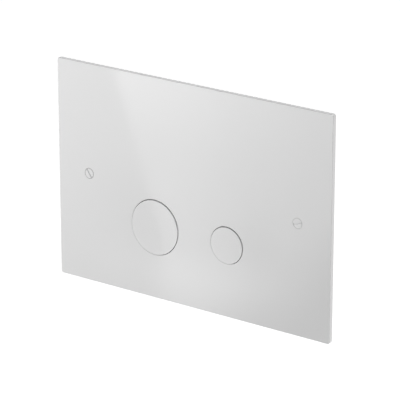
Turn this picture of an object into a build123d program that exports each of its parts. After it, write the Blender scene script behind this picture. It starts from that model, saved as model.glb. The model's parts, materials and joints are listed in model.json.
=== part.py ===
from build123d import *
import os
from collections import namedtuple
from math import radians, tan

os.makedirs("parts", exist_ok=True)

# Flush button plate for a concealed cistern, in millimetres.
# The wall surface is the plane y = 0. +Y runs into the wall, +Z is up, and +X is to the user's right.

# Face plate
PLATE_WIDTH = 230.0
PLATE_HEIGHT = 160.0
PLATE_THICKNESS = 3.0
PLATE_CORNER_RADIUS = 2.0
PLATE_EDGE_RADIUS = 0.4
HOLE_EDGE_BREAK = 0.15

# Foam seal between plate and wall
SEAL_THICKNESS = 2.0
SEAL_INSET = 7.0
SEAL_FRAME_GAP = 5.0
SEAL_CORNER_RADIUS = 4.0

# Buttons
BUTTON_SPACING = 61.0
BUTTON_DROP = 28.0
FULL_BUTTON_DIAMETER = 39.5
HALF_BUTTON_DIAMETER = 26.0
BUTTON_GAP = 0.4
BUTTON_PROUD = 0.5
BUTTON_TRAVEL = 7.0
CAP_HEIGHT = 10.0
CAP_FACE = 2.5
CAP_SKIRT = 1.6
CAP_EDGE_BREAK = 0.2
CAP_BOSS_DIAMETER = 11.0
CAP_BOSS_LENGTH = 5.0

# Plunger, guide bush and stop behind each button
PLUNGER_DIAMETER = 8.0
PLUNGER_TAIL = 5.0
SPIGOT_DIAMETER = 6.0
SPIGOT_LENGTH = 5.5
BUSH_RUNNING_CLEARANCE = 0.05
BUSH_DIAMETER = 11.0
BUSH_LENGTH = 11.0
BUSH_FLANGE_DIAMETER = 13.0
BUSH_FLANGE = 1.2
STOP_WASHER_DIAMETER = 12.0
STOP_WASHER_THICKNESS = 1.8
STOP_GAP = 0.15
CLIP_DIAMETER = 14.0
CLIP_THICKNESS = 0.9
CLIP_GROOVE_DIAMETER = 6.4
CLIP_MOUTH = 5.2
CLIP_NOTCH_DIAMETER = 3.2
CLIP_NOTCH_ANGLE = -30.0
CLIP_PLAY = 0.05

# Return springs, centred by the flanges of the bushes
SPRING_WIRE = 1.0
SPRING_TURNS = 3.0
SPRING_FLANGE_GAP = 0.6
SPRING_SEAT_GAP = 0.1

# Push rods with lock nuts and tips
ROD_DIAMETER = 5.0
ROD_ENGAGEMENT = 9.0
ROD_REACH = 40.0
THREAD_CHAMFER = 0.6
NUT_ACROSS_FLATS = 8.0
NUT_THICKNESS = 4.0
NUT_CHAMFER = 0.4
TIP_DIAMETER = 9.0
TIP_LENGTH = 14.0
TIP_SOCKET = 8.0
TIP_CHAMFER = 1.2
THREAD_PLAY = 0.05

# Mounting frame
FRAME_INSET = 20.0
FRAME_CORNER_RADIUS = 6.0
FRAME_PANEL = 2.5
FRAME_WALL = 2.0
FRAME_DEPTH = 9.0
FRAME_EDGE_BREAK = 0.6
RIB_THICKNESS = 1.6
RIB_HEIGHT = 3.0
UPPER_RIB_RISE = 30.0
WELL_FLOOR = 2.5
WELL_CLEARANCE = 1.5
BUSH_BOSS_WALL = 2.5
GUSSET_HEIGHT = 4.0
PRESS_GAP = 0.02

# Face screws, M3.5 slotted with 90 degree heads, and their inserts
SCREW_INSET = 27.0
SCREW_DIAMETER = 3.5
SCREW_LENGTH = 12.0
SCREW_HEAD_DIAMETER = 7.2
SCREW_SLOT_WIDTH = 0.8
SCREW_SLOT_DEPTH = 0.45
LEFT_SLOT_ANGLE = -57.0
RIGHT_SLOT_ANGLE = 18.0
SCREW_HOLE_CLEARANCE = 0.25
COUNTERSINK_ANGLE = 98.0
SCREW_SEAT_GAP = 0.02
INSERT_DIAMETER = 5.6
INSERT_LENGTH = 8.0
INSERT_SETBACK = 0.05
SCREW_BOSS_DIAMETER = 9.5
SCREW_BOSS_END = 1.6

# Fixing bolts, M6, with washers on the frame's panel
BOLT_TO_SCREW = 26.0
BOLT_DIAMETER = 6.0
BOLT_SHANK_DIAMETER = 5.4
BOLT_REACH = 58.0
BOLT_THREAD_GAP = 1.0
BOLT_CHAMFER = 0.8
BOLT_HEAD_FLATS = 10.0
BOLT_HEAD_HEIGHT = 4.0
BOLT_SLOT_WIDTH = 1.4
BOLT_SLOT_DEPTH = 1.6
WASHER_DIAMETER = 12.0
WASHER_THICKNESS = 1.6
WASHER_BORE = 6.4
BOLT_PAD_DIAMETER = 17.0
BOLT_PAD_PROUD = 0.5
BOLT_HOLE_DIAMETER = 7.0

INTO_WALL = (0, 1, 0)

# Depths measured from the wall surface, negative in front of it
plate_back = -SEAL_THICKNESS
plate_front = plate_back - PLATE_THICKNESS
button_front = plate_front - BUTTON_PROUD
cap_underside = button_front + CAP_FACE
cap_boss_end = cap_underside + CAP_BOSS_LENGTH
skirt_end = button_front + CAP_HEIGHT
well_floor = skirt_end + BUTTON_TRAVEL + WELL_CLEARANCE
well_back = well_floor + WELL_FLOOR
bush_back = well_floor + BUSH_LENGTH
stop_front = bush_back + STOP_GAP
clip_front = stop_front + STOP_WASHER_THICKNESS
clip_back = clip_front + CLIP_THICKNESS
plunger_back = clip_back + PLUNGER_TAIL
nut_back = plunger_back + NUT_THICKNESS
rod_end = plunger_back + ROD_REACH
panel_back = plate_back + FRAME_DEPTH
panel_front = panel_back - FRAME_PANEL
screw_end = plate_front + SCREW_LENGTH
bolt_seat = panel_front - WASHER_THICKNESS
pad_back = panel_back + RIB_HEIGHT + BOLT_PAD_PROUD

# Places across the front
button_z = -BUTTON_DROP
screw_x = PLATE_WIDTH / 2 - SCREW_INSET
bolt_x = screw_x - BOLT_TO_SCREW
frame_width = 2 * (screw_x + SCREW_BOSS_DIAMETER / 2 + FRAME_WALL / 2)
frame_height = PLATE_HEIGHT - 2 * FRAME_INSET
tray_width = frame_width - 2 * FRAME_WALL
tray_height = frame_height - 2 * FRAME_WALL
tray_corner = FRAME_CORNER_RADIUS - FRAME_WALL

# Each screw head seats at the foot of its wider countersink, which leaves a fine open ring at the face
screw_hole = SCREW_DIAMETER / 2 + SCREW_HOLE_CLEARANCE
head_seat = SCREW_HEAD_DIAMETER / 2 - screw_hole
countersink_radius = screw_hole + SCREW_SEAT_GAP + head_seat * tan(radians(COUNTERSINK_ANGLE / 2))

Button = namedtuple("Button", "name x diameter")
full = Button("full", -BUTTON_SPACING / 2, FULL_BUTTON_DIAMETER)
half = Button("half", BUTTON_SPACING / 2, HALF_BUTTON_DIAMETER)
buttons = (full, half)


def at_depth(y):
    """Sketch plane parallel to the wall at depth y: sketch x is +X and sketch y is +Z."""
    return Plane.XZ.offset(-y)


def half_section(x, z):
    """Sketch plane through the line (x, z) along Y: sketch x is the radius and sketch y the depth."""
    return Plane(origin=(x, 0, z))


def along_y(x, z):
    """Turning axis at (x, z)."""
    return Axis((x, 0, z), INTO_WALL)


def hole_radius(button):
    """Radius of the opening that a button runs in, the same in the plate and in the frame's well."""
    return button.diameter / 2 + BUTTON_GAP


def save(piece, name):
    """Label a finished piece and write its file."""
    piece.label = name
    export_step(piece, f"parts/{name}.step")


# Face plate: flat sheet with softened arrises, two button holes and two countersunk screw holes
with BuildPart() as face_plate:
    with BuildSketch(at_depth(plate_front)):
        RectangleRounded(PLATE_WIDTH, PLATE_HEIGHT, PLATE_CORNER_RADIUS)
    extrude(amount=PLATE_THICKNESS, dir=INTO_WALL)
    fillet(face_plate.faces().sort_by(Axis.Y)[0].edges(), PLATE_EDGE_RADIUS)
    with BuildSketch(at_depth(plate_front)):
        for button in buttons:
            with Locations((button.x, button_z)):
                Circle(hole_radius(button))
    extrude(amount=PLATE_THICKNESS, dir=INTO_WALL, mode=Mode.SUBTRACT)
    chamfer(face_plate.faces().sort_by(Axis.Y)[0].inner_wires().edges(), HOLE_EDGE_BREAK)
    with Locations(at_depth(plate_front)):
        with GridLocations(2 * screw_x, 0, 2, 1):
            CounterSinkHole(screw_hole, countersink_radius, counter_sink_angle=COUNTERSINK_ANGLE)
save(face_plate.part, "face_plate")

# Wall seal: closed foam ring stuck to the back of the plate, clear of the frame inside it
with BuildPart() as wall_seal:
    with BuildSketch(at_depth(plate_back)):
        RectangleRounded(PLATE_WIDTH - 2 * SEAL_INSET, PLATE_HEIGHT - 2 * SEAL_INSET, SEAL_CORNER_RADIUS)
        RectangleRounded(
            frame_width + 2 * SEAL_FRAME_GAP,
            frame_height + 2 * SEAL_FRAME_GAP,
            SEAL_CORNER_RADIUS,
            mode=Mode.SUBTRACT,
        )
    extrude(amount=SEAL_THICKNESS, dir=INTO_WALL)
save(wall_seal.part, "wall_seal")

# Mounting frame: moulded tray that opens towards the plate, with low ribs on its back, a well for each
# button, bosses for the face screws and pads for the fixing bolts
with BuildPart() as mounting_frame:
    with BuildSketch(at_depth(plate_back)):
        RectangleRounded(frame_width, frame_height, FRAME_CORNER_RADIUS)
    extrude(amount=FRAME_DEPTH, dir=INTO_WALL)
    chamfer(mounting_frame.faces().sort_by(Axis.Y)[-1].edges(), FRAME_EDGE_BREAK)
    with BuildSketch(at_depth(plate_back)):
        RectangleRounded(tray_width, tray_height, tray_corner)
    extrude(amount=FRAME_DEPTH - FRAME_PANEL, dir=INTO_WALL, mode=Mode.SUBTRACT)
    # Ribs along and across the back of the panel, with a ring of ribs round its edge
    with BuildSketch(at_depth(panel_back)):
        RectangleRounded(tray_width, tray_height, tray_corner)
        offset(amount=-RIB_THICKNESS, mode=Mode.SUBTRACT)
        for rise in (UPPER_RIB_RISE, 0, button_z):
            with Locations((0, rise)):
                Rectangle(tray_width, RIB_THICKNESS)
        for across in (-bolt_x, full.x, 0, half.x, bolt_x):
            with Locations((across, 0)):
                Rectangle(RIB_THICKNESS, tray_height)
    extrude(amount=RIB_HEIGHT, dir=INTO_WALL)
    # Wells with bush bosses and gussets, screw bosses and bolt pads, first as solids
    for button in buttons:
        with BuildSketch(at_depth(plate_back)):
            with Locations((button.x, button_z)):
                Circle(hole_radius(button) + FRAME_WALL)
        extrude(amount=well_back - plate_back, dir=INTO_WALL)
        with BuildSketch(at_depth(well_floor)):
            with Locations((button.x, button_z)):
                Circle(BUSH_DIAMETER / 2 + BUSH_BOSS_WALL)
        extrude(amount=BUSH_LENGTH - BUSH_FLANGE, dir=INTO_WALL)
        with BuildSketch(at_depth(well_floor)):
            with Locations((button.x, button_z)):
                Rectangle(2 * hole_radius(button), RIB_THICKNESS)
                Rectangle(RIB_THICKNESS, 2 * hole_radius(button))
        extrude(amount=WELL_FLOOR + GUSSET_HEIGHT, dir=INTO_WALL)
    with BuildSketch(at_depth(plate_back)):
        with GridLocations(2 * screw_x, 0, 2, 1):
            Circle(SCREW_BOSS_DIAMETER / 2)
    extrude(amount=screw_end + 2 * SCREW_BOSS_END - plate_back, dir=INTO_WALL)
    with BuildSketch(at_depth(panel_front)):
        with GridLocations(2 * bolt_x, 0, 2, 1):
            Circle(BOLT_PAD_DIAMETER / 2)
    extrude(amount=pad_back - panel_front, dir=INTO_WALL)
    # Hollows: wells, bush seats, screw bores and bolt holes
    for button in buttons:
        with BuildSketch(at_depth(plate_back)):
            with Locations((button.x, button_z)):
                Circle(hole_radius(button))
        extrude(amount=well_floor - plate_back, dir=INTO_WALL, mode=Mode.SUBTRACT)
        with BuildSketch(at_depth(well_floor)):
            with Locations((button.x, button_z)):
                Circle(BUSH_DIAMETER / 2 + PRESS_GAP)
        extrude(amount=BUSH_LENGTH, dir=INTO_WALL, mode=Mode.SUBTRACT)
    with BuildSketch(at_depth(plate_back)):
        with GridLocations(2 * screw_x, 0, 2, 1):
            Circle(INSERT_DIAMETER / 2 + PRESS_GAP)
    extrude(amount=screw_end + SCREW_BOSS_END - plate_back, dir=INTO_WALL, mode=Mode.SUBTRACT)
    with BuildSketch(at_depth(panel_front)):
        with GridLocations(2 * bolt_x, 0, 2, 1):
            Circle(BOLT_HOLE_DIAMETER / 2)
    extrude(amount=pad_back - panel_front, dir=INTO_WALL, mode=Mode.SUBTRACT)
save(mounting_frame.part, "mounting_frame")

# Screw inserts: brass sleeves in the bosses, just behind the plate
with BuildPart() as screw_inserts:
    with BuildSketch(at_depth(plate_back + INSERT_SETBACK)):
        with GridLocations(2 * screw_x, 0, 2, 1):
            Circle(INSERT_DIAMETER / 2)
            Circle(SCREW_DIAMETER / 2 + THREAD_PLAY, mode=Mode.SUBTRACT)
    extrude(amount=INSERT_LENGTH, dir=INTO_WALL)
save(screw_inserts.part, "screw_inserts")

# Face screws: countersunk heads flush with the plate, each slot left where the screwdriver stopped
with BuildPart() as face_screws:
    for side, slot_angle in ((-1, LEFT_SLOT_ANGLE), (1, RIGHT_SLOT_ANGLE)):
        head_back = plate_front + (SCREW_HEAD_DIAMETER - SCREW_DIAMETER) / 2
        with BuildSketch(half_section(side * screw_x, 0)):
            with BuildLine():
                Polyline(
                    (0, plate_front),
                    (SCREW_HEAD_DIAMETER / 2, plate_front),
                    (SCREW_DIAMETER / 2, head_back),
                    (SCREW_DIAMETER / 2, screw_end - THREAD_CHAMFER),
                    (SCREW_DIAMETER / 2 - THREAD_CHAMFER, screw_end),
                    (0, screw_end),
                    close=True,
                )
            make_face()
        revolve(axis=along_y(side * screw_x, 0))
        with BuildSketch(at_depth(plate_front)):
            with Locations((side * screw_x, 0)):
                Rectangle(SCREW_HEAD_DIAMETER, SCREW_SLOT_WIDTH, rotation=slot_angle)
        extrude(amount=SCREW_SLOT_DEPTH, dir=INTO_WALL, mode=Mode.SUBTRACT)
save(face_screws.part, "face_screws")

# Bolt washers: flat rings on the front of the panel
with BuildPart() as bolt_washers:
    with BuildSketch(at_depth(bolt_seat)):
        with GridLocations(2 * bolt_x, 0, 2, 1):
            Circle(WASHER_DIAMETER / 2)
            Circle(WASHER_BORE / 2, mode=Mode.SUBTRACT)
    extrude(amount=WASHER_THICKNESS, dir=INTO_WALL)
save(bolt_washers.part, "bolt_washers")

# Fixing bolts: slotted hexagon heads in the tray, reduced shanks through the panel, threads behind it
with BuildPart() as fixing_bolts:
    with BuildSketch(at_depth(bolt_seat)):
        with GridLocations(2 * bolt_x, 0, 2, 1):
            RegularPolygon(BOLT_HEAD_FLATS / 2, 6, major_radius=False)
    extrude(amount=-BOLT_HEAD_HEIGHT, dir=INTO_WALL)
    with BuildSketch(at_depth(bolt_seat - BOLT_HEAD_HEIGHT)):
        with GridLocations(2 * bolt_x, 0, 2, 1):
            Rectangle(BOLT_SLOT_WIDTH, 2 * BOLT_HEAD_FLATS)
    extrude(amount=BOLT_SLOT_DEPTH, dir=INTO_WALL, mode=Mode.SUBTRACT)
    with BuildSketch(at_depth(bolt_seat)):
        with GridLocations(2 * bolt_x, 0, 2, 1):
            Circle(BOLT_SHANK_DIAMETER / 2)
    extrude(amount=pad_back + BOLT_THREAD_GAP - bolt_seat, dir=INTO_WALL)
    with BuildSketch(at_depth(pad_back + BOLT_THREAD_GAP)):
        with GridLocations(2 * bolt_x, 0, 2, 1):
            Circle(BOLT_DIAMETER / 2)
    extrude(amount=BOLT_REACH - BOLT_THREAD_GAP, dir=INTO_WALL)
    chamfer(fixing_bolts.faces().sort_by(Axis.Y)[-2:].edges(), BOLT_CHAMFER)
save(fixing_bolts.part, "fixing_bolts")


def turn(button, name, *profile):
    """Turn a closed profile of (radius, depth) points about the button's own line and save the piece."""
    with BuildPart() as turned:
        with BuildSketch(half_section(button.x, button_z)):
            with BuildLine():
                Polyline(*profile, close=True)
            make_face()
        revolve(axis=along_y(button.x, button_z))
    save(turned.part, f"{button.name}_{name}")


for button in buttons:
    cap_radius = button.diameter / 2
    plunger_radius = PLUNGER_DIAMETER / 2
    bush_bore = plunger_radius + BUSH_RUNNING_CLEARANCE
    rod_bore = ROD_DIAMETER / 2 + THREAD_PLAY

    # Button cap: turned metal cup with a broken front edge and a bored boss for the plunger
    with BuildPart() as button_cap:
        with BuildSketch(half_section(button.x, button_z)):
            with BuildLine():
                Polyline(
                    (0, button_front),
                    (cap_radius, button_front),
                    (cap_radius, skirt_end),
                    (cap_radius - CAP_SKIRT, skirt_end),
                    (cap_radius - CAP_SKIRT, cap_underside),
                    (CAP_BOSS_DIAMETER / 2, cap_underside),
                    (CAP_BOSS_DIAMETER / 2, cap_boss_end),
                    (SPIGOT_DIAMETER / 2 + THREAD_PLAY, cap_boss_end),
                    (SPIGOT_DIAMETER / 2 + THREAD_PLAY, cap_boss_end - SPIGOT_LENGTH),
                    (0, cap_boss_end - SPIGOT_LENGTH),
                    close=True,
                )
            make_face()
        revolve(axis=along_y(button.x, button_z))
        chamfer(button_cap.faces().sort_by(Axis.Y)[0].edges(), CAP_EDGE_BREAK)
    save(button_cap.part, f"{button.name}_button_cap")

    # Plunger: turned stem with a spigot in the cap, a groove for the clip and a bored tail for the rod
    turn(
        button,
        "plunger",
        (0, cap_boss_end - SPIGOT_LENGTH + THREAD_PLAY),
        (SPIGOT_DIAMETER / 2, cap_boss_end - SPIGOT_LENGTH + THREAD_PLAY),
        (SPIGOT_DIAMETER / 2, cap_boss_end),
        (plunger_radius, cap_boss_end),
        (plunger_radius, clip_front - CLIP_PLAY),
        (CLIP_GROOVE_DIAMETER / 2, clip_front - CLIP_PLAY),
        (CLIP_GROOVE_DIAMETER / 2, clip_back + CLIP_PLAY),
        (plunger_radius, clip_back + CLIP_PLAY),
        (plunger_radius, plunger_back),
        (rod_bore, plunger_back),
        (rod_bore, plunger_back - ROD_ENGAGEMENT - CLIP_PLAY),
        (0, plunger_back - ROD_ENGAGEMENT - CLIP_PLAY),
    )

    # Guide bush: flanged sleeve pressed through the floor of the well
    turn(
        button,
        "guide_bush",
        (bush_bore, well_floor - BUSH_FLANGE),
        (BUSH_FLANGE_DIAMETER / 2, well_floor - BUSH_FLANGE),
        (BUSH_FLANGE_DIAMETER / 2, well_floor),
        (BUSH_DIAMETER / 2, well_floor),
        (BUSH_DIAMETER / 2, bush_back),
        (bush_bore, bush_back),
    )

    # Return spring: open coils with ground ends between cap and well floor, the wire drawn six-sided
    spring_front = cap_underside + SPRING_SEAT_GAP
    spring_length = well_floor - SPRING_SEAT_GAP - spring_front
    spring_radius = BUSH_FLANGE_DIAMETER / 2 + SPRING_FLANGE_GAP + SPRING_WIRE / 2
    with BuildPart() as return_spring:
        with BuildLine() as coil:
            Helix(
                spring_length / SPRING_TURNS,
                spring_length,
                spring_radius,
                center=(button.x, spring_front, button_z),
                direction=INTO_WALL,
            )
        with BuildSketch(Plane(origin=coil.line @ 0, z_dir=coil.line % 0)):
            RegularPolygon(SPRING_WIRE / 2, 6)
        sweep(path=coil.line, is_frenet=True)
        split(bisect_by=at_depth(spring_front), keep=Keep.BOTTOM)
        split(bisect_by=at_depth(spring_front + spring_length), keep=Keep.TOP)
    save(return_spring.part, f"{button.name}_return_spring")

    # Stop washer: rubber washer on the plunger, between bush and clip
    turn(
        button,
        "stop_washer",
        (bush_bore, stop_front),
        (STOP_WASHER_DIAMETER / 2, stop_front),
        (STOP_WASHER_DIAMETER / 2, clip_front),
        (bush_bore, clip_front),
    )

    # Retaining clip: spring steel E-clip, open towards the top, with three teeth in the groove
    with BuildPart() as retaining_clip:
        with BuildSketch(at_depth(clip_front)):
            with Locations((button.x, button_z)):
                Circle(CLIP_DIAMETER / 2)
                Circle(CLIP_GROOVE_DIAMETER / 2 + CLIP_PLAY, mode=Mode.SUBTRACT)
                with PolarLocations(CLIP_GROOVE_DIAMETER / 2, 3, CLIP_NOTCH_ANGLE):
                    Circle(CLIP_NOTCH_DIAMETER / 2, mode=Mode.SUBTRACT)
                with Locations((0, CLIP_DIAMETER / 2)):
                    Rectangle(CLIP_MOUTH, CLIP_DIAMETER, mode=Mode.SUBTRACT)
        extrude(amount=CLIP_THICKNESS, dir=INTO_WALL)
    save(retaining_clip.part, f"{button.name}_retaining_clip")

    # Push rod: threaded rod screwed into the plunger's tail
    turn(
        button,
        "push_rod",
        (0, plunger_back - ROD_ENGAGEMENT),
        (ROD_DIAMETER / 2 - THREAD_CHAMFER, plunger_back - ROD_ENGAGEMENT),
        (ROD_DIAMETER / 2, plunger_back - ROD_ENGAGEMENT + THREAD_CHAMFER),
        (ROD_DIAMETER / 2, rod_end - THREAD_CHAMFER),
        (ROD_DIAMETER / 2 - THREAD_CHAMFER, rod_end),
        (0, rod_end),
    )

    # Lock nut: hexagon nut tightened against the plunger, corners turned off at both faces
    nut_corner = NUT_ACROSS_FLATS / 3**0.5
    with BuildPart() as lock_nut:
        with BuildSketch(at_depth(plunger_back)):
            with Locations((button.x, button_z)):
                RegularPolygon(NUT_ACROSS_FLATS / 2, 6, major_radius=False)
                Circle(rod_bore, mode=Mode.SUBTRACT)
        extrude(amount=NUT_THICKNESS, dir=INTO_WALL)
        with BuildSketch(half_section(button.x, button_z)):
            with BuildLine():
                Polyline(
                    (0, plunger_back),
                    (NUT_ACROSS_FLATS / 2, plunger_back),
                    (nut_corner, plunger_back + NUT_CHAMFER),
                    (nut_corner, nut_back - NUT_CHAMFER),
                    (NUT_ACROSS_FLATS / 2, nut_back),
                    (0, nut_back),
                    close=True,
                )
            make_face()
        revolve(axis=along_y(button.x, button_z), mode=Mode.INTERSECT)
    save(lock_nut.part, f"{button.name}_lock_nut")

    # Rod tip: moulded cap with a bevelled end on the end of the rod
    with BuildPart() as rod_tip:
        with BuildSketch(half_section(button.x, button_z)):
            with BuildLine():
                Polyline(
                    (rod_bore, rod_end - TIP_SOCKET),
                    (TIP_DIAMETER / 2, rod_end - TIP_SOCKET),
                    (TIP_DIAMETER / 2, rod_end - TIP_SOCKET + TIP_LENGTH),
                    (0, rod_end - TIP_SOCKET + TIP_LENGTH),
                    (0, rod_end + THREAD_PLAY),
                    (rod_bore, rod_end + THREAD_PLAY),
                    close=True,
                )
            make_face()
        revolve(axis=along_y(button.x, button_z))
        chamfer(rod_tip.faces().sort_by(Axis.Y)[-1].edges(), TIP_CHAMFER)
    save(rod_tip.part, f"{button.name}_rod_tip")
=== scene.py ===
import json
import math

import bpy
import numpy as np
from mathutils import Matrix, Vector


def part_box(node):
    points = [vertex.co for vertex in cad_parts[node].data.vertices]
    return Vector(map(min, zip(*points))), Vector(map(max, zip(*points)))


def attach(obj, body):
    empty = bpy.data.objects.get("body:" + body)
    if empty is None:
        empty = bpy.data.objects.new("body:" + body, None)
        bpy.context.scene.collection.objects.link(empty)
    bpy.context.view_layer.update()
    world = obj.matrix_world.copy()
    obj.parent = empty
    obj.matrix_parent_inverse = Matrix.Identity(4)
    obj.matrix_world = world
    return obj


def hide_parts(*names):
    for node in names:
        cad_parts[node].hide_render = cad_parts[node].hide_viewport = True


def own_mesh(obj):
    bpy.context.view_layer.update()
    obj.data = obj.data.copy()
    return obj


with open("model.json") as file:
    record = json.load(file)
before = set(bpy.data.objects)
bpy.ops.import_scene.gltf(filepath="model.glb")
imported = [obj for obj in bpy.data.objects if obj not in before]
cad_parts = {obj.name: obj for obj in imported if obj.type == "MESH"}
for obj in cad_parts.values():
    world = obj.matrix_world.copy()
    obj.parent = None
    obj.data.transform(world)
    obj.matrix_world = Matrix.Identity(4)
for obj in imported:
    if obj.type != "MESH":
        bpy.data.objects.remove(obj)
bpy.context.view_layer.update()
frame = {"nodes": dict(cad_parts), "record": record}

# Mounting frame
# One injection moulding in light grey ABS: a ribbed tray that carries everything else behind the plate.
# Its skin has the fine grain of a spark-eroded mould, and the ejector pins left shallow discs in its bays.


def add_node(tree, kind, sockets=None, **settings):
    """Add a shader node, set its properties, and fill or link the sockets given by name or number."""
    made = tree.nodes.new(kind)
    for name, value in settings.items():
        setattr(made, name, value)
    for key, value in (sockets or {}).items():
        if isinstance(value, bpy.types.NodeSocket):
            tree.links.new(value, made.inputs[key])
        else:
            made.inputs[key].default_value = value
    return made


def feed(tree, sockets, **values):
    """Link each value to the socket of its name, where an underscore stands for a space."""
    for name, value in values.items():
        tree.links.new(value, sockets[name.replace("_", " ")])


def calc(tree, operation, *values):
    """The result of a math node on numbers or sockets."""
    return add_node(tree, "ShaderNodeMath", dict(enumerate(values)), operation=operation).outputs[0]


def spread(tree, value, low=0.0, high=1.0, to_low=0.0, to_high=1.0, smooth=False):
    """A value carried from one range to another and held inside it, with soft ends if smooth."""
    sockets = {"Value": value, "From Min": low, "From Max": high, "To Min": to_low, "To Max": to_high}
    kind = "SMOOTHSTEP" if smooth else "LINEAR"
    return add_node(tree, "ShaderNodeMapRange", sockets, interpolation_type=kind).outputs["Result"]


MIX_SHARE, MIX_FIRST, MIX_SECOND, MIX_COLOUR = 0, 6, 7, 2


def tint(tree, share, first, second):
    """A colour that goes from the first to the second, colours or sockets, as share goes from 0 to 1. The
    mix node's colours have the same names as its plain numbers, so its sockets go by number."""
    hues = [hue if isinstance(hue, bpy.types.NodeSocket) else (*hue, 1.0) for hue in (first, second)]
    sockets = {MIX_SHARE: share, MIX_FIRST: hues[0], MIX_SECOND: hues[1]}
    return add_node(tree, "ShaderNodeMix", sockets, data_type="RGBA").outputs[MIX_COLOUR]


def own_place(tree):
    """The piece's own coordinates, in metres."""
    return add_node(tree, "ShaderNodeTexCoord").outputs["Object"]


def along(tree):
    """The piece's own coordinates as separate X, Y and Z sockets."""
    return add_node(tree, "ShaderNodeSeparateXYZ", {"Vector": own_place(tree)}).outputs


def noise(tree, cells, detail=2.0):
    """Cloudy noise from 0 to 1, with so many cells per metre."""
    sockets = {"Vector": own_place(tree), "Scale": cells, "Detail": detail}
    return add_node(tree, "ShaderNodeTexNoise", sockets).outputs["Fac"]


def apart(tree, aside, above):
    """How far a point is that lies so far aside and so far above: the root of the sum of their squares."""
    squares = calc(tree, "ADD", calc(tree, "POWER", aside, 2.0), calc(tree, "POWER", above, 2.0))
    return calc(tree, "SQRT", squares)


def nearer(tree, place, first, second):
    """How far a place is from the nearer of two lines."""
    gaps = [calc(tree, "ABSOLUTE", calc(tree, "SUBTRACT", place, line)) for line in (first, second)]
    return calc(tree, "MINIMUM", *gaps)


def dent(tree, height, depth):
    """The normal of a surface whose height of 0 to 1 stands for a depth in metres."""
    return add_node(tree, "ShaderNodeBump", {"Height": height, "Distance": depth}).outputs["Normal"]


def effect(name, inputs, outputs):
    """An empty node group with number inputs, given with their defaults, and number outputs."""
    group = bpy.data.node_groups.new(name, "ShaderNodeTree")
    for label, default in inputs.items():
        socket = group.interface.new_socket(label, in_out="INPUT", socket_type="NodeSocketFloat")
        socket.default_value = default
    for label in outputs:
        group.interface.new_socket(label, in_out="OUTPUT", socket_type="NodeSocketFloat")
    given = group.nodes.new("NodeGroupInput").outputs
    result = group.nodes.new("NodeGroupOutput").inputs
    return group, given, result


def use_effect(tree, group, **values):
    """Place a node group in a material with its own values and give back its outputs."""
    return add_node(tree, "ShaderNodeGroup", values, node_tree=group).outputs


def finish_for(name, **constants):
    """A new material, its node tree and its shader's sockets, with those set that stay the same all over."""
    material = bpy.data.materials.new(name)
    material.use_nodes = True
    shader = material.node_tree.nodes["Principled BSDF"]
    for socket, value in constants.items():
        shader.inputs[socket].default_value = value
    return material, material.node_tree, shader.inputs


def dress(material, *nodes):
    """Give solids of the frame their material."""
    for name in nodes:
        frame["nodes"][name].material_slots[0].material = material


MILLIMETRE = 0.001
mounts = {mount["name"]: mount for mount in frame["record"]["mounts"]}
BOLT_X = mounts["fixing_bolts"]["dims"]["spacing_x_mm"] / 2 * MILLIMETRE
BUTTON_X = {name: mounts[f"{name}_push_face"]["pos_m"][0] for name in ("full", "half")}
UPPER_RIB, TRAY_WALL = 0.030, 0.002
tray_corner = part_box("mounting_frame")[1]
INNER_BAY, OUTER_BAY = BUTTON_X["half"] / 2, (BUTTON_X["half"] + BOLT_X) / 2
LOWER_BAY, UPPER_BAY = UPPER_RIB / 2, (UPPER_RIB + tray_corner.z - TRAY_WALL) / 2
PIN_RADIUS, PIN_EDGE, PIN_DEPTH = 0.0030, 0.00015, 0.00008
PIN_SHARE, GRAIN_SHARE, PIN_POLISH = 0.75, 0.25, 0.12
NOISE_MIDDLE, GRAIN_SWING, FLOW_SWING = 0.5, 0.16, 0.20
ABS_GREY, ABS_PALE = (0.60, 0.61, 0.62), (0.65, 0.66, 0.67)

moulded_skin, given, result = effect(
    "moulded_skin",
    inputs={"Grain": 2200.0, "Rough": 0.5},
    outputs=("Height", "Roughness", "Shade"),
)
tree = moulded_skin
grain = noise(tree, given["Grain"], detail=3.0)
flow = noise(tree, cells=26.0, detail=4.0)
swing = calc(tree, "MULTIPLY", calc(tree, "SUBTRACT", grain, NOISE_MIDDLE), GRAIN_SWING)
drift = calc(tree, "MULTIPLY", calc(tree, "SUBTRACT", flow, NOISE_MIDDLE), FLOW_SWING)
rough = calc(tree, "ADD", given["Rough"], calc(tree, "ADD", swing, drift))
feed(tree, result, Height=grain, Roughness=rough, Shade=spread(tree, flow, low=0.3, high=0.7))

grey_abs, tree, sockets = finish_for("grey_abs", IOR=1.53)
skin = use_effect(tree, moulded_skin, Grain=2200.0, Rough=0.46)
place = along(tree)
aside = nearer(tree, calc(tree, "ABSOLUTE", place["X"]), INNER_BAY, OUTER_BAY)
above = nearer(tree, place["Z"], LOWER_BAY, UPPER_BAY)
off_pin = apart(tree, aside, above)
pin_disc = spread(tree, off_pin, PIN_RADIUS - PIN_EDGE, PIN_RADIUS, to_low=1.0, to_high=0.0, smooth=True)
polished = calc(tree, "MULTIPLY", pin_disc, PIN_POLISH)
grained = calc(tree, "MULTIPLY", skin["Height"], GRAIN_SHARE)
pressed = calc(tree, "SUBTRACT", grained, calc(tree, "MULTIPLY", pin_disc, PIN_SHARE))
feed(
    tree,
    sockets,
    Base_Color=tint(tree, skin["Shade"], ABS_GREY, ABS_PALE),
    Roughness=calc(tree, "SUBTRACT", skin["Roughness"], polished),
    Normal=dent(tree, pressed, PIN_DEPTH),
)
dress(grey_abs, "mounting_frame")

# Screw inserts
# Two brass sleeves pressed into the frame's bosses, turned from bar, tapped M3.5 inside.
# They sit just behind the plate, where its screws reach them.

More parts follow.
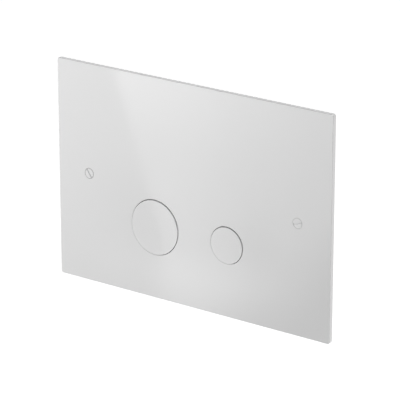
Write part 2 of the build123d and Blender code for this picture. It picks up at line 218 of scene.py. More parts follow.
TOOL_PITCH, TOOL_DEPTH, TOOL_WOBBLE = 0.00022, 0.000006, 0.6
BRASS_DULL, BRASS_BRIGHT = (0.66, 0.49, 0.23), (0.74, 0.58, 0.31)

turned_rings, given, result = effect("turned_rings", inputs={"Pitch": 0.0002}, outputs=("Height", "Cloud"))
tree = turned_rings
wobble = calc(tree, "MULTIPLY", noise(tree, cells=900.0), TOOL_WOBBLE)
turns = calc(tree, "ADD", calc(tree, "DIVIDE", along(tree)["Y"], given["Pitch"]), wobble)
ring = calc(tree, "MULTIPLY", calc(tree, "PINGPONG", turns, 0.5), 2.0)
cloud = spread(tree, noise(tree, cells=140.0, detail=4.0), low=0.32, high=0.68)
feed(tree, result, Height=ring, Cloud=cloud)

turned_brass, tree, sockets = finish_for("turned_brass", Metallic=1.0)
rings = use_effect(tree, turned_rings, Pitch=TOOL_PITCH)
feed(
    tree,
    sockets,
    Base_Color=tint(tree, rings["Cloud"], BRASS_DULL, BRASS_BRIGHT),
    Roughness=spread(tree, rings["Cloud"], to_low=0.34, to_high=0.22),
    Normal=dent(tree, rings["Height"], TOOL_DEPTH),
)
dress(turned_brass, "screw_inserts")

# Fixing bolts
# Two M6 bolts in bright zinc-plated steel that draw the frame back to the cistern's box.
# The threads are rolled on a reduced shank, and the slotted hexagon heads sit in the tray.

THREAD_DEPTH = 0.6134
CREST_FLAT, FLANK, ROOT_FLAT = 1 / 8, 5 / 16, 1 / 4
MERGE_DECIMALS = 8


def tube_faces(rows, columns, shift=0):
    """Quads of a grid that closes round its columns: the last column meets the first one, shift rows on."""
    row, column = np.meshgrid(np.arange(rows - 1), np.arange(columns), indexing="ij")
    onward = (column + 1) % columns
    onward_row = row + shift * (onward == 0)
    corners = [
        row * columns + column,
        (row + 1) * columns + column,
        (onward_row + 1) * columns + onward,
        onward_row * columns + onward,
    ]
    return np.stack(corners, -1)[(onward_row >= 0) & (onward_row + 1 < rows)]


def put_piece(name, parts, sharp=32.0):
    """Make one object of several (points, quads) parts: coincident points are merged, a quad that has lost
    a corner becomes a triangle, and edges bent by more than the sharp angle stay crisp."""
    grids, faces = zip(*parts)
    starts = np.cumsum([0] + [len(grid) for grid in grids[:-1]])
    quads = np.concatenate([part + start for part, start in zip(faces, starts)])
    points = np.round(np.concatenate(grids), MERGE_DECIMALS)
    points, merged = np.unique(points, axis=0, return_inverse=True)
    quads = merged.reshape(-1)[quads]
    kept = quads != np.roll(quads, -1, axis=1)
    corners = kept.sum(1)
    triangles = quads[corners == 3][kept[corners == 3]].reshape(-1, 3)
    mesh = bpy.data.meshes.new(name)
    mesh.from_pydata(points.tolist(), [], quads[corners == 4].tolist() + triangles.tolist())
    mesh.polygons.foreach_set("use_smooth", np.ones(len(mesh.polygons), bool))
    mesh.set_sharp_from_angle(angle=math.radians(sharp))
    piece = bpy.data.objects.new(name, mesh)
    bpy.context.scene.collection.objects.link(piece)
    return piece


def turned(x, z, profile, columns=48):
    """Surface turned about the line (x, z) along Y: each (radius, depth) of the profile makes a ring."""
    radius, depth = np.array(profile).T[:, :, None]
    angle = np.linspace(0, 2 * np.pi, columns, endpoint=False)[None, :]
    points = np.stack([x + radius * np.cos(angle), depth + 0 * angle, z + radius * np.sin(angle)], -1)
    return points.reshape(-1, 3), tube_faces(len(profile), columns)


def thread(x, z, start, end, crest, pitch, blank, point, columns=48):
    """Rolled right-hand thread along Y. At angle a and depth y the phase is (y - start)/pitch + a/2pi. Over
    one phase the radius runs crest, flank, root, flank as a 60 degree thread does. It swells out of the
    blank's radius over the first pitch and is held under a 45 degree point at the end."""
    corners = np.cumsum([0, CREST_FLAT, FLANK, ROOT_FLAT])
    root = crest - THREAD_DEPTH * pitch
    turns = int(np.ceil((end - start) / pitch)) + 2
    phase = (np.arange(-1, turns)[:, None] + corners).reshape(-1, 1)
    angle = np.linspace(0, 2 * np.pi, columns, endpoint=False)[None, :]
    depth = np.clip(start + pitch * (phase - angle / (2 * np.pi)), start, end)
    place = ((depth - start) / pitch + angle / (2 * np.pi)) % 1.0
    cut = np.interp(place, [*corners, 1.0], [crest, crest, root, root, crest])
    swell = np.clip((depth - start) / pitch, 0, 1)
    radius = np.minimum(blank + (cut - blank) * swell, crest - point + (end - depth))
    points = np.stack([x + radius * np.cos(angle), depth, z + radius * np.sin(angle)], -1)
    return points.reshape(-1, 3), tube_faces(len(phase), columns, -len(corners))


def slotted_hexagon(x, z, front, back, flats, slot_width, slot_depth):
    """Hexagon head with a slot along Z: a rectangle carried across in X, as tall as the hexagon is there and
    as deep as the head, or as the slot's floor between the slot's walls."""
    corner = flats / math.sqrt(3)
    slot = slot_width / 2
    across = np.array([-corner, -corner, -corner / 2, -slot, -slot, slot, slot, corner / 2, corner, corner])
    ends, slot_floor = [0, -1], [4, 5]
    tall = np.minimum(flats / 2, (corner - np.abs(across)) * math.sqrt(3))
    tall[ends] = 0.0
    face = np.full(len(across), front)
    face[slot_floor] += slot_depth
    face[ends] = back
    rear = np.full(len(across), back)
    height = np.stack([tall, tall, -tall, -tall], -1)
    depth = np.stack([rear, face, face, rear], -1)
    points = np.stack([x + across[:, None] + 0 * height, depth, z + height], -1)
    return points.reshape(-1, 3), tube_faces(len(across), 4)


ZINC_COOL, ZINC_WARM, ROOT_DIRT_AND_SHADE = (0.57, 0.58, 0.62), (0.66, 0.66, 0.64), (0.32, 0.32, 0.33)
SPECKS_TO_CELL, SPECK_DULL, SPECK_DEPTH = 22.0, 0.08, 0.000004
ROOT_DULL, ROOT_REACH = 0.15, 0.45

plated_cloud, given, result = effect("plated_cloud", inputs={"Cells": 160.0}, outputs=("Cloud", "Speck"))
tree = plated_cloud
specks = noise(tree, calc(tree, "MULTIPLY", given["Cells"], SPECKS_TO_CELL))
cloud = spread(tree, noise(tree, given["Cells"], detail=4.0), low=0.32, high=0.68)
feed(tree, result, Cloud=cloud, Speck=spread(tree, specks, low=0.3, high=0.7))

ring_line, given, result = effect(
    "ring_line",
    inputs={"X": 0.0, "Z": 0.0, "Radius": 0.01, "Reach": 0.0003},
    outputs=("Line",),
)
tree = ring_line
place = along(tree)
aside = calc(tree, "SUBTRACT", place["X"], given["X"])
above = calc(tree, "SUBTRACT", place["Z"], given["Z"])
off_ring = calc(tree, "ABSOLUTE", calc(tree, "SUBTRACT", apart(tree, aside, above), given["Radius"]))
nearness = calc(tree, "SUBTRACT", 1.0, calc(tree, "DIVIDE", off_ring, given["Reach"]))
feed(tree, result, Line=spread(tree, nearness, low=0.0, high=0.6, smooth=True))


def plate_zinc(name, *threads):
    """Bright zinc plating. Each thread, given by its line (x, z), first and last depth, crest and pitch, is
    dull in its roots, where the plating is thin, and painted darker there with dirt and painted shade."""
    material, tree, sockets = finish_for(name, Metallic=1.0)
    plating = use_effect(tree, plated_cloud, Cells=150.0)
    colour = tint(tree, plating["Cloud"], ZINC_COOL, ZINC_WARM)
    rough = spread(tree, plating["Cloud"], to_low=0.24, to_high=0.34)
    rough = calc(tree, "ADD", rough, calc(tree, "MULTIPLY", plating["Speck"], SPECK_DULL))
    for x, z, start, end, crest, pitch in threads:
        depth = along(tree)["Y"]
        past_start = calc(tree, "GREATER_THAN", depth, start)
        before_end = calc(tree, "LESS_THAN", depth, end)
        radius, reach = crest - THREAD_DEPTH * pitch, ROOT_REACH * pitch
        root = use_effect(tree, ring_line, X=x, Z=z, Radius=radius, Reach=reach)["Line"]
        root = calc(tree, "MULTIPLY", root, calc(tree, "MULTIPLY", past_start, before_end))
        # The thread roots are painted darker: dirt together with painted shade in the grooves.
        colour = tint(tree, root, colour, ROOT_DIRT_AND_SHADE)
        rough = calc(tree, "ADD", rough, calc(tree, "MULTIPLY", root, ROOT_DULL))
    normal = dent(tree, plating["Speck"], SPECK_DEPTH)
    feed(tree, sockets, Base_Color=colour, Roughness=rough, Normal=normal)
    return material


bolt_low, bolt_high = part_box("fixing_bolts")
HEAD_FRONT, HEAD_BACK, HEAD_FLATS = bolt_low.y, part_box("bolt_washers")[0].y, 2 * bolt_high.z
SLOT_WIDTH, SLOT_DEPTH = 0.0014, 0.0016
SHANK_IN_HEAD, SHANK_END, SHANK_RADIUS = 0.0005, 0.0115, 0.0027
SHANK_START = HEAD_BACK - SHANK_IN_HEAD
BOLT_CREST = mounts["fixing_bolts"]["dims"]["stud_r_mm"] * MILLIMETRE
BOLT_END, BOLT_POINT, BOLT_PITCH = bolt_high.y, 0.0008, 0.001
bolt_parts = []
bolt_threads = []
for x in (-BOLT_X, BOLT_X):
    shank = [(0.0, SHANK_START), (SHANK_RADIUS, SHANK_START), (SHANK_RADIUS, SHANK_END)]
    bolt_parts += [
        slotted_hexagon(x, 0.0, HEAD_FRONT, HEAD_BACK, HEAD_FLATS, SLOT_WIDTH, SLOT_DEPTH),
        turned(x, 0.0, shank),
        thread(x, 0.0, SHANK_END, BOLT_END, BOLT_CREST, BOLT_PITCH, SHANK_RADIUS, BOLT_POINT),
        turned(x, 0.0, [(BOLT_CREST - BOLT_POINT, BOLT_END), (0.0, BOLT_END)]),
    ]
    bolt_threads.append((x, 0.0, SHANK_END, BOLT_END - BOLT_POINT, BOLT_CREST, BOLT_PITCH))
bolts = put_piece("threaded_fixing_bolts", bolt_parts)
bolts.data.materials.append(plate_zinc("bolt_zinc", *bolt_threads))
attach(bolts, "wall_assembly")
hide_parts("fixing_bolts")

# Bolt washers
# Flat M6 washers stamped from strip and zinc plated with the bolts.
# One lies under each head and spreads its pull over the frame's pad.

bright_zinc = plate_zinc("bright_zinc")
dress(bright_zinc, "bolt_washers")

# Guide bushes
# Flanged sleeves moulded in natural acetal and pressed through the floors of the wells.
# The plungers run in them dry.

ACETAL_GRAIN = 0.00001
ACETAL_DULL, ACETAL_PALE = (0.78, 0.76, 0.71), (0.83, 0.82, 0.79)

natural_acetal, tree, sockets = finish_for("natural_acetal", IOR=1.48)
skin = use_effect(tree, moulded_skin, Grain=3000.0, Rough=0.40)
feed(
    tree,
    sockets,
    Base_Color=tint(tree, skin["Shade"], ACETAL_DULL, ACETAL_PALE),
    Roughness=skin["Roughness"],
    Normal=dent(tree, skin["Height"], ACETAL_GRAIN),
)
dress(natural_acetal, "full_guide_bush", "half_guide_bush")

# Return springs
# Open compression springs of 1 mm round wire with ground ends, one in each well round the bush's flange.
# The front end follows the cap, so a pressed button shortens its spring towards the floor of the well.


def coil(x, z, front, back, radius, wire, turns, rows=217, columns=16):
    """Round wire carried along a right-hand helix about the line (x, z): the centre at share t of the way is
    at angle pi/2 - 2pi turns t and depth front + t (back - front). Depths are held between the ends, which
    grinds them flat."""
    share = np.linspace(0, 1, rows)[:, None]
    angle = np.pi / 2 - 2 * np.pi * turns * share
    climb = (back - front) / (2 * np.pi * turns)
    outward = np.stack([np.cos(angle), 0 * angle, np.sin(angle)], -1)
    ahead = np.stack([radius * np.sin(angle), 0 * angle + climb, -radius * np.cos(angle)], -1)
    ahead /= np.linalg.norm(ahead, axis=-1, keepdims=True)
    aside = np.cross(outward, ahead)
    round_wire = np.linspace(0, 2 * np.pi, columns, endpoint=False)[None, :, None]
    depth = front + share * (back - front)
    centre = np.stack([x + radius * np.cos(angle), depth, z + radius * np.sin(angle)], -1)
    tube = centre + wire / 2 * (np.cos(round_wire) * outward + np.sin(round_wire) * aside)
    ends = np.broadcast_to(centre[[0, -1]], (2, columns, 3))
    points = np.concatenate([ends[:1], tube, ends[1:]])
    points[:, :, 1] = np.clip(points[:, :, 1], front, back)
    return points.reshape(-1, 3), tube_faces(rows + 2, columns)


SCALE_DEPTH = 0.000006
WIRE_DARK, WIRE_PALE = (0.30, 0.30, 0.31), (0.42, 0.42, 0.43)

drawn_wire, tree, sockets = finish_for("drawn_wire", Metallic=1.0)
plating = use_effect(tree, plated_cloud, Cells=220.0)
feed(
    tree,
    sockets,
    Base_Color=tint(tree, plating["Cloud"], WIRE_DARK, WIRE_PALE),
    Roughness=spread(tree, plating["Speck"], to_low=0.30, to_high=0.46),
    Normal=dent(tree, plating["Speck"], SCALE_DEPTH),
)

SPRING_RADIUS, WIRE, TURNS = 0.0076, 0.001, 3
BUTTON_Z = mounts["full_push_face"]["pos_m"][2]
SPRING_FRONT, SPRING_BACK = (corner.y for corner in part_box("full_return_spring"))
for name, x in BUTTON_X.items():
    wound = coil(x, BUTTON_Z, SPRING_FRONT, SPRING_BACK, SPRING_RADIUS, WIRE, TURNS)
    spring = put_piece(f"{name}_coil_spring", [wound], sharp=50.0)
    spring.data.materials.append(drawn_wire)
    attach(spring, "wall_assembly")
    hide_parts(f"{name}_return_spring")
    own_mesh(spring)

# Plungers
# Brass stems turned in one piece, screwed into the caps and grooved for the clips.
# The tail of each one holds the thread of its push rod.

dress(turned_brass, "full_plunger", "half_plunger")

# Stop washers and retaining clips
# A rubber washer softens the return of each button against its bush, and an E-clip snapped into the
# plunger's groove holds it there. The clips are stamped from spring steel and blackened.

RUBBER_GRAIN = 0.00003
RUBBER_BLACK, RUBBER_GREY = (0.030, 0.030, 0.030), (0.055, 0.055, 0.054)

stop_rubber, tree, sockets = finish_for("stop_rubber", IOR=1.52)
skin = use_effect(tree, moulded_skin, Grain=4000.0, Rough=0.68)
feed(
    tree,
    sockets,
    Base_Color=tint(tree, skin["Shade"], RUBBER_BLACK, RUBBER_GREY),
    Roughness=skin["Roughness"],
    Normal=dent(tree, skin["Height"], RUBBER_GRAIN),
)
dress(stop_rubber, "full_stop_washer", "half_stop_washer")
dress(drawn_wire, "full_retaining_clip", "half_retaining_clip")

# Button caps
# Turned metal cups with a broken front edge, sprayed in gloss white lacquer with the plate. The lacquer lies
# in a very faint orange peel, and fingers have polished the middles. The rims are painted grey where they
# face up, with dust and with painted shade, most of it on the large one.

PEEL_DEPTH, FINE_PEEL, PEEL_SHARE = 0.0000015, 0.25, 0.8
HAZE_ROUGH, FINGER_POLISH, THIN_SHARE = 0.012, 0.006, 0.35
# The last of these greys is painted for dust and shade, on the cap rims and in the rings round the screw
# heads.
WHITE, THIN_WHITE, DUST_AND_SHADE = (0.805, 0.805, 0.805), (0.775, 0.775, 0.775), (0.45, 0.45, 0.45)
RIM_REACH, RIM_DUST_AND_SHADE = 0.0004, {"full": 0.25, "half": 0.05}
MOST_TOUCHED, UNTOUCHED = 0.25, 0.75
DUST_AND_SHADE_STARTS, DUST_AND_SHADE_FULL = -0.2, 0.8

gloss_lacquer, given, result = effect(
    "gloss_lacquer",
    inputs={"Rough": 0.06},
    outputs=("Height", "Roughness", "Shade"),
)
tree = gloss_lacquer
fine_peel = calc(tree, "MULTIPLY", noise(tree, cells=1500.0), FINE_PEEL)
peel = calc(tree, "ADD", noise(tree, cells=420.0), fine_peel)
haze = spread(tree, noise(tree, cells=22.0, detail=5.0), low=0.3, high=0.7)
feed(
    tree,
    result,
    Height=calc(tree, "MULTIPLY", peel, PEEL_SHARE),
    Roughness=calc(tree, "ADD", given["Rough"], calc(tree, "MULTIPLY", haze, HAZE_ROUGH)),
    Shade=spread(tree, noise(tree, cells=9.0, detail=3.0), low=0.3, high=0.7),
)

for name, x in BUTTON_X.items():
    cap_low, cap_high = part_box(f"{name}_button_cap")
    radius = (cap_high.x - cap_low.x) / 2
    cap_lacquer, tree, sockets = finish_for(f"{name}_cap_lacquer", IOR=1.5)
    coat = use_effect(tree, gloss_lacquer, Rough=0.03)
    place = along(tree)
    aside = calc(tree, "SUBTRACT", place["X"], x)
    above = calc(tree, "SUBTRACT", place["Z"], BUTTON_Z)
    off_middle = apart(tree, aside, above)
    inner, outer = MOST_TOUCHED * radius, UNTOUCHED * radius
    touched = spread(tree, off_middle, inner, outer, to_low=FINGER_POLISH, to_high=0.0, smooth=True)
    lower, upper = DUST_AND_SHADE_STARTS * radius, DUST_AND_SHADE_FULL * radius
    # Where the rims face up they are painted grey: dust together with painted shade at the gap round the
    # cap.
    facing_up = spread(tree, above, lower, upper, to_low=0.0, to_high=RIM_DUST_AND_SHADE[name], smooth=True)
    rim = use_effect(tree, ring_line, X=x, Z=BUTTON_Z, Radius=radius, Reach=RIM_REACH)["Line"]
    white = tint(tree, calc(tree, "MULTIPLY", coat["Shade"], THIN_SHARE), WHITE, THIN_WHITE)
    feed(
        tree,
        sockets,
        Base_Color=tint(tree, calc(tree, "MULTIPLY", rim, facing_up), white, DUST_AND_SHADE),
        Roughness=calc(tree, "SUBTRACT", coat["Roughness"], touched),
        Normal=dent(tree, coat["Height"], PEEL_DEPTH),
    )
    dress(cap_lacquer, f"{name}_button_cap")

# Push rods
# M5 studding cut to length and zinc plated.
# One is screwed into each plunger's tail, where it sets the reach of its button.

rod_low, rod_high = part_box("half_push_rod")
ROD_START, ROD_END, ROD_CREST = rod_low.y, rod_high.y, rod_high.x - BUTTON_X["half"]
ROD_POINT, ROD_PITCH = 0.0006, 0.0008
ROD_BLUNT = ROD_CREST - ROD_POINT
for name, x in BUTTON_X.items():
    rod_parts = [
        turned(x, BUTTON_Z, [(0.0, ROD_START), (ROD_BLUNT, ROD_START)]),
        thread(x, BUTTON_Z, ROD_START, ROD_END, ROD_CREST, ROD_PITCH, ROD_BLUNT, ROD_POINT),
        turned(x, BUTTON_Z, [(ROD_BLUNT, ROD_END), (0.0, ROD_END)]),
    ]
    rod = put_piece(f"{name}_threaded_rod", rod_parts)
    rod_thread = (x, BUTTON_Z, ROD_START + ROD_POINT, ROD_END - ROD_POINT, ROD_CREST, ROD_PITCH)
    rod.data.materials.append(plate_zinc(f"{name}_rod_zinc", rod_thread))
    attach(rod, f"{name}_button")
    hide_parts(f"{name}_push_rod")

# Lock nuts
# M5 nuts, cold formed and zinc plated.
# They are tightened against the plungers so that the rods keep their reach.

dress(bright_zinc, "full_lock_nut", "half_lock_nut")

# Rod tips
# Bevelled acetal ends pushed onto the rods.
# They slide on the flush valve's levers without a squeak.

dress(natural_acetal, "full_rod_tip", "half_rod_tip")

# Wall seal
# A ring die-cut from 2 mm closed-cell foam rubber, stuck behind the plate to keep water out of the wall.
# Its cut edges bulge a little and show the open cells.


def rounded_rectangle(width, height, radius, count=41):
    """Loop of points (x, z): a quarter circle of count points round each corner in turn."""
    quarter = np.linspace(0, np.pi / 2, count)
    angle = (np.arange(4)[:, None] * np.pi / 2 + quarter).reshape(-1)
    side_x = np.repeat([1, -1, -1, 1], count) * (width / 2 - radius)
    side_z = np.repeat([1, 1, -1, -1], count) * (height / 2 - radius)
    return np.stack([side_x + radius * np.cos(angle), side_z + radius * np.sin(angle)], -1)


def foam_ring(inner, outer, front, back, columns=40):
    """Foam between two loops: at angle b round the section the place is a share (1 + s|cos b|^(1/9))/2 of
    the way from the inner loop to the outer one, s the sign of cos b, and the depth goes the same way with
    sin b and a power of 1/3, which makes a band with flat faces and softly bulging edges."""
    bend = -np.linspace(0, 2 * np.pi, columns, endpoint=False)
    share = (1 + np.sign(np.cos(bend)) * np.abs(np.cos(bend)) ** (1 / 9)) / 2
    depth = (1 + np.sign(np.sin(bend)) * np.abs(np.sin(bend)) ** (1 / 3)) / 2
    across = inner[:, None, :] + (outer - inner)[:, None, :] * share[None, :, None]
    depths = np.broadcast_to(front + (back - front) * depth, across.shape[:2])
    points = np.stack([across[:, :, 0], depths, across[:, :, 1]], -1)
    points = np.concatenate([points, points[:1]])
    return points.reshape(-1, 3), tube_faces(len(inner) + 1, columns)


FOAM_CELLS, CELL_DEPTH = 1500.0, 0.00012
FOAM_GREY, FOAM_DARK = (0.115, 0.115, 0.12), (0.085, 0.085, 0.09)

cell_foam, tree, sockets = finish_for("cell_foam", IOR=1.45)
cell_sockets = {"Vector": own_place(tree), "Scale": FOAM_CELLS}
cells = add_node(tree, "ShaderNodeTexVoronoi", cell_sockets, feature="DISTANCE_TO_EDGE")
hollow = spread(tree, cells.outputs["Distance"], low=0.02, high=0.22, smooth=True)
cloud = spread(tree, noise(tree, cells=60.0, detail=4.0), low=0.3, high=0.7)
feed(
    tree,
    sockets,
    Base_Color=tint(tree, calc(tree, "MULTIPLY", hollow, cloud), FOAM_GREY, FOAM_DARK),
    Roughness=spread(tree, hollow, to_low=0.80, to_high=0.95),
    Normal=dent(tree, calc(tree, "SUBTRACT", 1.0, hollow), CELL_DEPTH),
)

SEAL_RADIUS, TRAY_CLEARANCE = 0.004, 0.005
seal_low, seal_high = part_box("wall_seal")
inner_x, inner_z = tray_corner.x + TRAY_CLEARANCE, tray_corner.z + TRAY_CLEARANCE
inner_loop = rounded_rectangle(2 * inner_x, 2 * inner_z, SEAL_RADIUS)
outer_loop = rounded_rectangle(2 * seal_high.x, 2 * seal_high.z, SEAL_RADIUS)
seal_band = foam_ring(inner_loop, outer_loop, seal_low.y, seal_high.y)
seal = put_piece("foam_seal_ring", [seal_band], sharp=60.0)
seal.data.materials.append(cell_foam)
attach(seal, "wall_assembly")
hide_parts("wall_seal")

# Face plate
# A 3 mm steel sheet with softened arrises, sprayed in gloss white lacquer on both sides. The lacquer draws
# back a little from the arrises, and wiping has left a trace of haze on it. The fine open rings round the
# screw heads are painted grey with dust and with painted shade, most round the left one.

plate_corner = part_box("face_plate")[1]
screw_low, screw_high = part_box("face_screws")
HEAD_RADIUS, RING_WIDTH, RING_REACH = 0.0036, 0.0002, 0.0003
SCREW_X = screw_high.x - HEAD_RADIUS
RING_RADIUS = HEAD_RADIUS + RING_WIDTH / 2
# How much dust and painted shade darkens the ring round each screw head.
LEFT_DUST_AND_SHADE, RIGHT_DUST_AND_SHADE = 1.0, 0.1
THIN_EDGE, FULL_COAT, ARRIS_SHARE = 0.0002, 0.0007, 0.8


def screw_rings(tree):
    """How grey the rings round the screw heads are painted, with dust and painted shade: more round the left
    one.
    """
    ring_dust_and_shade = 0.0
    for x, ring_darkness in ((-SCREW_X, LEFT_DUST_AND_SHADE), (SCREW_X, RIGHT_DUST_AND_SHADE)):
        line = use_effect(tree, ring_line, X=x, Z=0.0, Radius=RING_RADIUS, Reach=RING_REACH)["Line"]
        ring_dust_and_shade = calc(tree, "MAXIMUM", ring_dust_and_shade, calc(tree, "MULTIPLY", line, ring_darkness))
    return ring_dust_and_shade


plate_lacquer, tree, sockets = finish_for("plate_lacquer", IOR=1.5)
coat = use_effect(tree, gloss_lacquer, Rough=0.03)
place = along(tree)
from_side = calc(tree, "SUBTRACT", plate_corner.x, calc(tree, "ABSOLUTE", place["X"]))
from_edge = calc(tree, "SUBTRACT", plate_corner.z, calc(tree, "ABSOLUTE", place["Z"]))
inside = calc(tree, "MINIMUM", from_side, from_edge)
arris = spread(tree, inside, THIN_EDGE, FULL_COAT, to_low=ARRIS_SHARE, to_high=0.0, smooth=True)
thin = calc(tree, "MAXIMUM", arris, calc(tree, "MULTIPLY", coat["Shade"], THIN_SHARE))
# The rings round the screw heads are painted grey with dust and painted shade.
feed(
    tree,
    sockets,
    Base_Color=tint(tree, screw_rings(tree), tint(tree, thin, WHITE, THIN_WHITE), DUST_AND_SHADE),
    Roughness=coat["Roughness"],
    Normal=dent(tree, coat["Height"], PEEL_DEPTH),
)
dress(plate_lacquer, "face_plate")

# Face screws
# Two slotted countersunk M3.5 screws lacquered with the plate, driven flush into the inserts.
# The driver has rubbed the lacquer thin in the slots.
# The slots are painted darker with depth, as wear together with painted shade.

WEAR_AND_SHADE_START, WEAR_AND_SHADE_FULL = 0.0001, 0.0010
WORN_AND_SHADED_WHITE, WORN_ROUGH = (0.66, 0.66, 0.66), 0.2

screw_lacquer, tree, sockets = finish_for("screw_lacquer", IOR=1.5)
coat = use_effect(tree, gloss_lacquer, Rough=0.09)
sunk = calc(tree, "SUBTRACT", along(tree)["Y"], screw_low.y)
# Deeper in the slot the lacquer is painted darker: rubbed wear together with painted shade.
slot = spread(tree, sunk, WEAR_AND_SHADE_START, WEAR_AND_SHADE_FULL, smooth=True)
rubbed = spread(tree, noise(tree, cells=2600.0, detail=3.0), low=0.42, high=0.60)
worn_and_shaded = calc(tree, "MULTIPLY", slot, rubbed)
# The ring round each head is painted grey with dust and painted shade.
feed(
    tree,
    sockets,
    Base_Color=tint(tree, screw_rings(tree), tint(tree, worn_and_shaded, WHITE, WORN_AND_SHADED_WHITE), DUST_AND_SHADE),
    Roughness=calc(tree, "ADD", coat["Roughness"], calc(tree, "MULTIPLY", worn_and_shaded, WORN_ROUGH)),
    Normal=dent(tree, coat["Height"], PEEL_DEPTH),
)
dress(screw_lacquer, "face_screws")

# Studio
# A white surround and a bright floor well below the plate, a low key from the left, a rim light from the
# right and a fill box above and behind.

scene = bpy.context.scene
scene.view_settings.view_transform = "Standard"
AIM = Vector((0.0, 0.0, 0.0))
PURE_WHITE, FLOOR_WHITE = (1.0, 1.0, 1.0, 1.0), (0.80, 0.80, 0.80, 1.0)
SURROUND_LIGHT, SURROUND_SEEN = 0.15, 1.0
FLOOR_LIGHT, FLOOR_SEEN = 0.555, 0.85
FLOOR_Z, FLOOR_REACH = -0.62, 8.0


def seen_directly(tree):
    """1 for the rays of the camera and for those in gloss or glass, 0 for scattered light."""
    path = add_node(tree, "ShaderNodeLightPath").outputs
    gloss = calc(tree, "MAXIMUM", path["Is Glossy Ray"], path["Is Transmission Ray"])
    return calc(tree, "MAXIMUM", path["Is Camera Ray"], gloss)


surround = bpy.data.worlds.new("surround")
scene.world = surround
surround.use_nodes = True
tree = surround.node_tree
backdrop = tree.nodes["Background"].inputs
backdrop["Color"].default_value = PURE_WHITE
brightness = spread(tree, seen_directly(tree), to_low=SURROUND_LIGHT, to_high=SURROUND_SEEN)
feed(tree, backdrop, Strength=brightness)

white_floor, tree, sockets = finish_for("white_floor", Roughness=0.9)
sockets["Base Color"].default_value = FLOOR_WHITE
sockets["Emission Color"].default_value = PURE_WHITE
brightness = spread(tree, seen_directly(tree), to_low=FLOOR_LIGHT, to_high=FLOOR_SEEN)
feed(tree, sockets, Emission_Strength=brightness)
square = ((-1, -1), (1, -1), (1, 1), (-1, 1))
floor_corners = [(x * FLOOR_REACH, y * FLOOR_REACH, FLOOR_Z) for x, y in square]
floor_mesh = bpy.data.meshes.new("studio_floor")
floor_mesh.from_pydata(floor_corners, [], [(0, 1, 2, 3)])
floor_mesh.materials.append(white_floor)
floor = bpy.data.objects.new("studio_floor", floor_mesh)
scene.collection.objects.link(floor)


def lamp(name, place, size, power, in_gloss=True):
    """A square soft box aimed at the plate, which may be kept out of the gloss."""
    light = bpy.data.lights.new(name, "AREA")
    light.size = size
    light.energy = power
    holder = bpy.data.objects.new(name, light)
    holder.location = place
    holder.rotation_euler = (AIM - Vector(place)).to_track_quat("-Z", "Y").to_euler()
    holder.visible_camera = False
    holder.visible_glossy = in_gloss
    scene.collection.objects.link(holder)


lamp("key_box", place=(-0.95, -0.55, -0.12), size=0.40, power=5.9, in_gloss=False)
lamp("rim_box", place=(1.30, -0.10, 0.05), size=0.60, power=4.2)
lamp("back_box", place=(0.0, 0.75, 1.20), size=0.50, power=13.0)

# Gloss board
# The plate's gloss mirrors what stood before it in the photograph: soft bands and a leaning edge of light.
# A board with such a glow stands for it, square to the camera's line of sight as the plate mirrors it.
# Only gloss sees the board.

BASE_GLOW, MOST_GLOW, RIGHT_LOSS = 2.05, 7.0, 1.2
CLIMB, CLIMB_LOSS, BAND_TILT = 10.0, 3.0, 0.203
STRIP_EDGE, STRIP_FACING = (-0.089, 0.147), (0.96, 0.28)
STRIP_CRISP, STRIP_BLUR, STRIP_FADE = 0.004, 0.035, 0.15
STRIP_GLOW, STRIP_TOP_GLOW = 0.75, 1.15
PATCH_GLOW, PATCH_LEFT_GLOW, PATCH_FADE = 0.65, 0.35, 0.5
MIDDLE_GLOW, LEFT_CLOUD, RIGHT_CLOUD = 0.55, 0.4, 0.5
CORNER_EDGE, CORNER_FACING, CORNER_LOSS = (0.163, -0.079), (0.62, -0.785), 0.97


def ease(value, low, high):
    """0 below low, 1 above high and a smooth step between."""
    share = np.clip((value - low) / (high - low), 0, 1)
    return share * share * (3 - 2 * share)


def bell(value, middle, width):
    """1 at the middle, fading to both sides as the exponential of minus (distance/width) squared."""
    return np.exp(-(((value - middle) / width) ** 2))


def past_line(across, up, through, facing):
    """How far a place lies past a straight line through a point, the way that the line faces."""
    return facing[0] * (across - through[0]) + facing[1] * (up - through[1])


def board_glow(across, up):
    """How the board glows so many metres across and up from its middle: brighter towards its top, with a
    strip of light that starts along a leaning line and fades to the right, a light patch low down, a
    lighter middle, two dim clouds, and one dark lower corner."""
    rise = up + BAND_TILT * across
    climb = CLIMB - CLIMB_LOSS * ease(across, low=0.08, high=0.15)
    past_edge = past_line(across, up, STRIP_EDGE, STRIP_FACING)
    beyond = np.clip(past_edge, 0, 1)
    blur = STRIP_CRISP + STRIP_BLUR * ease(-rise, low=0.055, high=0.10)
    lit = ease(past_edge, low=-blur, high=STRIP_CRISP)
    strip = STRIP_GLOW + STRIP_TOP_GLOW * ease(rise, low=0.04, high=0.13)
    strip *= lit * np.exp(-beyond / STRIP_FADE)
    patch = PATCH_GLOW * lit + PATCH_LEFT_GLOW * ease(past_edge, low=-0.10, high=-0.05)
    patch *= bell(rise, middle=-0.09, width=0.028) * np.exp(-beyond / PATCH_FADE)
    middle = MIDDLE_GLOW * bell(across, middle=-0.01, width=0.06)
    left_cloud = LEFT_CLOUD * bell(past_edge, middle=0.0, width=0.05) * bell(rise, middle=-0.02, width=0.05)
    left_cloud *= 1 - lit
    right_cloud = RIGHT_CLOUD * bell(across, middle=0.075, width=0.025)
    right_cloud *= bell(rise, middle=-0.04, width=0.035)
    corner = ease(past_line(across, up, CORNER_EDGE, CORNER_FACING), low=-0.07, high=0.045)
    light = BASE_GLOW + climb * rise - RIGHT_LOSS * across
    light += strip + patch + middle - left_cloud - right_cloud
    return np.clip(light, 0, MOST_GLOW) * (1 - CORNER_LOSS * corner)


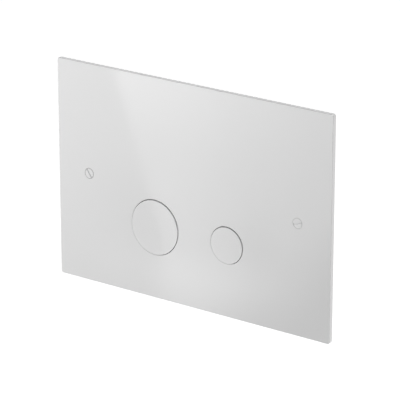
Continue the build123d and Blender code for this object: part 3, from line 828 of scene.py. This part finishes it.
YAW, PITCH = math.radians(36.377), math.radians(19.107)
toward = np.array([-math.sin(YAW) * math.cos(PITCH), -math.cos(YAW) * math.cos(PITCH), -math.sin(PITCH)])
level = np.array([math.cos(YAW), -math.sin(YAW), 0.0])
upright = np.array([-math.sin(YAW) * math.sin(PITCH), -math.cos(YAW) * math.sin(PITCH), math.cos(PITCH)])
BOARD_AWAY, HALF_WIDTH, HALF_HEIGHT = 1.2, 0.42, 0.36
BOARD_GRID = (169, 145)

steps_across = np.linspace(-HALF_WIDTH, HALF_WIDTH, BOARD_GRID[0])
steps_up = np.linspace(-HALF_HEIGHT, HALF_HEIGHT, BOARD_GRID[1])
across, up = np.meshgrid(steps_across, steps_up, indexing="ij")
points = BOARD_AWAY * toward + across[..., None] * level + up[..., None] * upright
index = np.arange(across.size).reshape(BOARD_GRID)
quads = np.stack([index[:-1, :-1], index[1:, :-1], index[1:, 1:], index[:-1, 1:]], -1)
board_mesh = bpy.data.meshes.new("gloss_board")
board_mesh.from_pydata(points.reshape(-1, 3).tolist(), [], quads.reshape(-1, 4).tolist())
glow = board_mesh.attributes.new("glow", "FLOAT", "POINT")
glow.data.foreach_set("value", board_glow(across, up).astype(np.float32).ravel())
glowing_board, tree, sockets = finish_for("glowing_board")
strength = add_node(tree, "ShaderNodeAttribute", attribute_name="glow").outputs["Fac"]
emission = add_node(tree, "ShaderNodeEmission", {"Strength": strength}).outputs["Emission"]
feed(tree, tree.nodes["Material Output"].inputs, Surface=emission)
board_mesh.materials.append(glowing_board)
board = bpy.data.objects.new("gloss_board", board_mesh)
scene.collection.objects.link(board)
board.visible_camera = False
board.visible_diffuse = False
board.visible_shadow = False
board.visible_transmission = False

# Camera
# A long lens to the right of the plate and a little above it, as the photograph was taken.
# Its focal length is given in pixels of a picture 400 pixels wide.

CAMERA_PLACE = (0.9606, -1.2979, 0.5563)
FOCAL_PIXELS, PICTURE_PIXELS, SENSOR_WIDTH = 2507, 400, 36.0
FARTHEST_SEEN = 50.0

camera = bpy.data.objects.new("camera", bpy.data.cameras.new("camera"))
camera.location = CAMERA_PLACE
camera.rotation_euler = (math.pi / 2 - PITCH, 0.0, YAW)
camera.data.sensor_width = SENSOR_WIDTH
camera.data.lens = FOCAL_PIXELS / PICTURE_PIXELS * SENSOR_WIDTH
camera.data.clip_end = FARTHEST_SEEN
scene.collection.objects.link(camera)
scene.camera = camera
